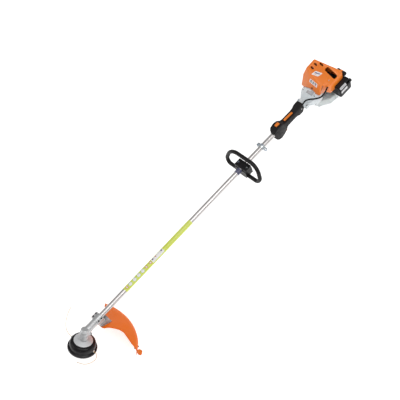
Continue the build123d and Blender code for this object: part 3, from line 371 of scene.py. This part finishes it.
# ------------------------------ trimmer lines ------------------------------
LINE_A = [(-11.19, 63.49, -71), (-13, 81, -71), (-8, 104, -69.5), (4, 127, -67), (21, 147, -62), (41, 165, -54), (62, 179, -46), (84, 189, -38.5)]
LINE_B = [(11.19, -63.49, -71), (12.5, -77, -71.5), (7, -91, -73), (-7, -101, -74), (-26, -105.5, -74.5), (-46, -104.5, -74.5), (-64, -98, -74), (-79, -85, -73), (-89, -66, -72)]
for tag, pts, length in (("a", LINE_A, 0.1733), ("b", LINE_B, 0.1446)):
    cu = bpy.data.curves.new("line_" + tag, "CURVE")
    cu.dimensions = "3D"
    sp = cu.splines.new("NURBS")
    sp.points.add(len(pts) - 1)
    for i, p in enumerate(pts):
        q = H(*p)
        sp.points[i].co = (q.x, q.y, q.z, 1)
    sp.order_u = 3
    sp.use_endpoint_u = True
    sp.resolution_u = 16
    cu.bevel_depth = 0.0012
    cu.bevel_resolution = 5
    cu.use_fill_caps = True
    cu.materials.append(M["line"])
    o = bpy.data.objects.new("cutting_line_" + tag, cu)
    scene.collection.objects.link(o)
    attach(o, "head")
    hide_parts("trimmer_line_" + tag)
    e = H(*pts[0])

# ------------------------------ engine details -----------------------------
def on_plane(n, d, x, y):
    """the point of plane n.p = d over (x, y)"""
    return Vector((x, y, (d - n[0] * x - n[1] * y) / n[2]))
LEFT = (Vector((0.0, -0.49, 0.872)), 115.0)
FRONT = (Vector((-0.941, -0.0483, 0.3348)), -1376.7)
def plane_frame(pl, towards):
    n = pl[0].normalized()
    ex = (Vector(towards) - n * Vector(towards).dot(n)).normalized()
    return ex, n.cross(ex).normalized()

def sticker(name, pl, corners, bars, mats, towards, body="machine"):
    """four corner points on a shroud plane; bars are (u0, u1, v0, v1, mat) in its unit square"""
    n = pl[0].normalized()
    c = [on_plane(pl[0], pl[1], x, y) for x, y in corners]
    ex, ey = plane_frame(pl, towards)
    at = c[0]
    q = [((p - at).dot(ex), (p - at).dot(ey)) for p in c]
    bm = bmesh.new()
    def uv(u, v):
        a = [q[0][i] * (1 - u) * (1 - v) + q[1][i] * u * (1 - v) + q[2][i] * u * v + q[3][i] * (1 - u) * v for i in (0, 1)]
        return a[0], a[1]
    # the plate has rounded corners
    edge = []
    for (u, v, du, dv) in ((0, 0, 1, 1), (1, 0, -1, 1), (1, 1, -1, -1), (0, 1, 1, -1)):
        arc = []
        for i in range(6):
            a = math.radians(90 * i / 5)
            arc.append((u + du * 0.10 * (1 - math.sin(a)), v + dv * 0.14 * (1 - math.cos(a))))
        if du * dv < 0:
            arc = arc[::-1]
        edge += arc[::-1]
    add_prism(bm, [uv(*e) for e in edge], at, ex, ey, 0.02, 0.30, 0)
    for u0, u1, v0, v1, k in bars:
        add_prism(bm, [uv(u0, v0), uv(u1, v0), uv(u1, v1), uv(u0, v1)], at, ex, ey, 0.25, 0.38, k)
    return piece(name, bm, mats, body, smooth=30)

# upper sticker: a slanted white field with plain bars; lower sticker: two plain rows
sticker("shroud_sticker_upper", LEFT, [(1540.9, 2.3), (1557.0, -26.5), (1528.0, -21.5), (1512.5, 6.0)],
        [(0.14, 0.86, 0.24, 0.50, 1), (0.22, 0.56, 0.62, 0.76, 2)], ["paper", "ink_violet", "ink_orange"], (1, 0, 0))
sticker("shroud_sticker_lower", FRONT, [(1502.6, 6.0), (1500.9, -38.0), (1493.4, -38.0), (1495.6, 9.0)],
        [(0.08, 0.30, 0.16, 0.46, 1), (0.38, 0.60, 0.16, 0.46, 1), (0.68, 0.90, 0.16, 0.46, 1), (0.08, 0.30, 0.58, 0.80, 1), (0.38, 0.60, 0.58, 0.80, 1), (0.68, 0.90, 0.58, 0.80, 2)],
        ["paper", "ink_dark", "ink_red"], (1, 0, 0))

# printed patches on the tube's film: plain shapes with no symbols in them
R_FILM = 12.7 + 0.3
A0 = math.radians(12)
bm = bmesh.new()
for x in (197, 225, 252, 278):
    wrap(bm, lambda p: 9.3, x, A0, R_FILM, 0.10, 0)
    wrap(bm, lambda p: 7.9, x, A0 + 0.02, R_FILM + 0.10, 0.07, 1)
piece("film_discs", bm, ["ink_blue", "paper"], "machine", smooth=50)
bm = bmesh.new()
for x in (175, 303, 330):
    tri = [(-8.5, 0), (5.5, -9.2), (5.5, 9.2)]
    wrap(bm, poly_star(tri), x, A0, R_FILM, 0.10, 0)
    wrap(bm, poly_star([(a * 0.66, b * 0.66) for a, b in tri]), x, A0, R_FILM + 0.10, 0.07, 1)
piece("film_triangles", bm, ["ink_red", "paper"], "machine", smooth=50)
bm = bmesh.new()
wrap(bm, poly_star([(-38, -9.5), (38, -9.5), (38, 11.5), (-38, 11.5)]), 378, A0 - 0.04, R_FILM, 0.10, 0, rings=8, k=96)
for x, rr, k in ((349, 4.6, 1), (407, 4.6, 1), (368, 3.2, 2)):
    wrap(bm, lambda p, q=rr: q, x, A0 - 0.30, R_FILM + 0.10, 0.07, k)
piece("film_panel", bm, ["paper", "ink_violet", "ink_red"], "machine", smooth=50)

# ------------------------------ tank contents ------------------------------
fuel = [(1506, -26), (1521, -33.5), (1554, -58.3), (1602.5, -64.7), (1605.5, -59), (1605.5, 66.5), (1600, 76), (1533, 76), (1512.5, 53), (1506, 40)]
bm = bmesh.new()
add_prism(bm, fuel, (0, 0, -93.8), (1, 0, 0), (0, 1, 0), 0, 21)
piece("fuel_mix", bm, "fuel", "machine", bevel=2.0, segs=4)
# level marks moulded on the tank's left wall
bm = bmesh.new()
for i, z in enumerate((-91, -85, -79, -73, -67)):
    w = 9 if i % 2 == 0 else 5
    add_prism(bm, rounded(w, 1.1, 0.5, 4), (1583, -68.07, z), (1, -0.127, 0), (0, 0, 1), -0.1, 0.5)
piece("tank_level_marks", bm, "tank", "machine", smooth=30)

# ------------------------------ small details ------------------------------
def on_x(name, x, y, z, outline, mats, t=0.5, k=0, body="machine", bevel=0.0, slot=None):
    bm = bmesh.new()
    add_prism(bm, outline, (x, y, z), (0, 1, 0), (0, 0, 1), 0, t, k)
    return piece(name, bm, mats, body, bevel=bevel)

# label plates on the filter cover's outer wall and chamfer, with plain lines
bm = bmesh.new()
add_prism(bm, rounded(44, 17, 2.5), (1598, -120.0, 12.0), (1, 0, 0), (0, 0, 1), -0.3, 0.35, 0)
add_prism(bm, rounded(34, 2.4, 1.0), (1598, -120.0, 15.0), (1, 0, 0), (0, 0, 1), 0.3, 0.45, 1)
add_prism(bm, rounded(26, 2.4, 1.0, cx=-4), (1598, -120.0, 9.0), (1, 0, 0), (0, 0, 1), 0.3, 0.45, 1)
add_prism(bm, rounded(44, 13, 2.5), (1598, -112.5, 31.5), (1, 0, 0), (0, 0.66, 0.75), -0.3, 0.35, 0)
add_prism(bm, rounded(34, 2.4, 1.0), (1598, -112.5, 31.5), (1, 0, 0), (0, 0.66, 0.75), 0.3, 0.45, 1)
piece("filter_label_plate", bm, ["plate_light", "plate_grey"], "machine", smooth=30)

# a raised pad on the clutch housing's upper face, with a plain plate on it
PAD_N = Vector((-0.45, 0.0, 0.893)).normalized()
PAD = [Vector(p) for p in ((1477.9, 6.1, 52.6), (1480.6, -32.6, 54.0), (1461.6, -29.6, 44.4), (1461.6, 7.5, 44.4))]
pc = (PAD[0] + PAD[1] + PAD[2] + PAD[3]) / 4
pex = (PAD[1] - PAD[0]).normalized()
pey = PAD_N.cross(pex).normalized()
flat = [((q - pc).dot(pex), (q - pc).dot(pey)) for q in PAD]
def shrunk(k):
    return [(a * k, b * k) for a, b in flat]
bm = bmesh.new()
add_prism(bm, shrunk(1.06), pc, pex, pey, -9.0, 0.0, 0)
piece("housing_pad", bm, "white_alloy", "machine", bevel=0.8)
bm = bmesh.new()
add_prism(bm, shrunk(0.96), pc, pex, pey, -0.2, 0.45, 0)
for v in (-0.5, 0.0, 0.5):
    mid = [(a * 0.7, b * 0.10 + v * 9.0) for a, b in flat]
    add_prism(bm, mid, pc, pex, pey, 0.4, 0.6, 1)
piece("housing_plate", bm, ["plate_grey", "plate_light"], "machine", smooth=30)

# screws set into the shroud, with hexagon sockets
def cap_screw(name, at, n, r=4.2, body="machine", key="screw_black"):
    n = Vector(n).normalized()
    ex = n.orthogonal().normalized(); ey = n.cross(ex)
    bm = bmesh.new()
    ring = lambda rad, h, k=48: [bm.verts.new(Vector(at) + (ex * math.cos(2 * math.pi * i / k) + ey * math.sin(2 * math.pi * i / k)) * rad(2 * math.pi * i / k) + n * h) for i in range(k)]
    hexr = lambda a, q=r * 0.52: q * math.cos(math.pi / 6) / math.cos((a % (math.pi / 3)) - math.pi / 6)
    rows = [ring(lambda a: r, 0), ring(lambda a: r, 1.3), ring(lambda a: r * 0.90, 1.75), ring(lambda a: r * 0.66, 1.75), ring(hexr, 1.70), ring(hexr, 0.35)]
    for p, q in zip(rows, rows[1:]):
        for i in range(48):
            bm.faces.new((p[i], p[(i + 1) % 48], q[(i + 1) % 48], q[i]))
    bm.faces.new(rows[-1]); bm.faces.new(rows[0][::-1])
    return piece(name, bm, key, body, smooth=30)
ns, ds = LEFT
cap_screw("shroud_screw_front", on_plane(FRONT[0], FRONT[1], 1487.3, -12.9), FRONT[0])
cap_screw("shroud_screw_side", on_plane(ns, ds, 1553, -66.5), ns, 2.6, key="zinc")

# orange insert in the starter grip
bm = bmesh.new()
def ring_band(bm, c, r0, r1, w, mat=0, k=64):
    """band about the Y axis through c"""
    prof = [(-w / 2, r0), (-w / 2, r1 - 0.3), (-w / 2 + 0.3, r1), (w / 2 - 0.3, r1), (w / 2, r1 - 0.3), (w / 2, r0)]
    rows = [[bm.verts.new(Vector(c) + Vector((r * math.cos(2 * math.pi * i / k), y, r * math.sin(2 * math.pi * i / k)))) for i in range(k)] for y, r in prof]
    for j in range(len(rows)):
        p, q = rows[j], rows[(j + 1) % len(rows)]
        for i in range(k):
            bm.faces.new((p[i], p[(i + 1) % k], q[(i + 1) % k], q[i])).material_index = mat
ring_band(bm, (1646, -66, 62), 10.2, 11.1, 13)
piece("grip_insert", bm, "orange_key", "pull_grip", smooth=40)
bm = bmesh.new()
for y in (-87, -83.5, -80, -52, -48.5, -45):
    ring_band(bm, (1646, y, 62), 10.1, 10.95, 1.5)
piece("grip_ribs", bm, "black", "pull_grip", smooth=40)

# handle: a grey plug at its rear end and grip ribs along both cheeks
bm = bmesh.new()
add_prism(bm, circle(3.4, 40), (1392, -18.9, 6), (1, 0, 0), (0, 0, 1), -0.6, 0.7)
piece("handle_plug", bm, "plate_grey", "machine", bevel=0.3)
bm = bmesh.new()
for sg in (-1, 1):
    for i in range(13):
        x = 1297 + 3.6 * i
        pts = rounded(1.5, 17 - abs(i - 6) * 0.7, 0.7, 5)
        add_prism(bm, pts, (x, sg * 15.1, -0.5), (1, 0, 0) if sg < 0 else (-1, 0, 0), (0, 0, 1), -0.3, 0.55)
piece("handle_grip_ribs", bm, "black_grip", "machine", bevel=0.25, segs=2)

# hose: a round tube swept along points given in the tool's frame
def hose(name, pts, r, key, body="machine", res=14):
    cu = bpy.data.curves.new(name, "CURVE"); cu.dimensions = "3D"
    sp = cu.splines.new("NURBS"); sp.points.add(len(pts) - 1)
    for i, p in enumerate(pts):
        q = T(*p); sp.points[i].co = (q.x, q.y, q.z, 1)
    sp.order_u = 3; sp.use_endpoint_u = True; sp.resolution_u = res
    cu.bevel_depth = r * 0.001; cu.bevel_resolution = 5; cu.use_fill_caps = True
    cu.materials.append(M[key])
    o = bpy.data.objects.new(name, cu); scene.collection.objects.link(o)
    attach(o, body)
    return o

# ------------------------------ throttle cable -----------------------------
CABLE = [(1396, -13.5, 23), (1416, -13.5, 23), (1424, -17, 36.5), (1437, -30, 44.5), (1457, -51, 41), (1478, -70, 43), (1500, -73, 46),
         (1518, -73.5, 59), (1534, -72, 68), (1549, -68, 68), (1562, -61, 61), (1567, -56.5, 48), (1568, -55, 35)]
o = hose("cable_jacket", CABLE, 3.98, "cable")
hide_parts("throttle_cable")

# ------------------------------ stage and light ----------------------------
bm = bmesh.new()
bmesh.ops.create_grid(bm, x_segments=1, y_segments=1, size=9)
me = bpy.data.meshes.new("floor"); bm.to_mesh(me); bm.free()
fm = Mat("floor_pale", (0.90, 0.90, 0.90), 0.7, spec=0.1)
fm.b.inputs["Emission Color"].default_value = (1, 1, 1, 1)
fm.b.inputs["Emission Strength"].default_value = 0.60
me.materials.append(fm.m)
floor = bpy.data.objects.new("floor", me)
floor.location = (0, 0, -0.0004)
scene.collection.objects.link(floor)

world = bpy.data.worlds.new("studio"); scene.world = world
world.use_nodes = True
world.node_tree.nodes["Background"].inputs["Color"].default_value = (1, 1, 1, 1)
world.node_tree.nodes["Background"].inputs["Strength"].default_value = 0.46

def area(name, loc, target, size, energy, color=(1, 1, 1)):
    l = bpy.data.lights.new(name, "AREA")
    l.shape = "RECTANGLE"; l.size, l.size_y = size
    l.energy = energy; l.color = color
    o = bpy.data.objects.new(name, l)
    scene.collection.objects.link(o)
    o.location = loc
    d = Vector(target) - Vector(loc)
    o.rotation_euler = d.to_track_quat("-Z", "Y").to_euler()
    return o
area("key", (0.9, -2.3, 3.3), (0.1, 0, 0.1), (2.4, 2.0), 44)
area("fill", (-2.4, 1.9, 2.4), (0, 0, 0.1), (2.2, 2.2), 16)
area("top", (0.1, -0.4, 4.2), (0, 0, 0), (3.4, 2.0), 27)
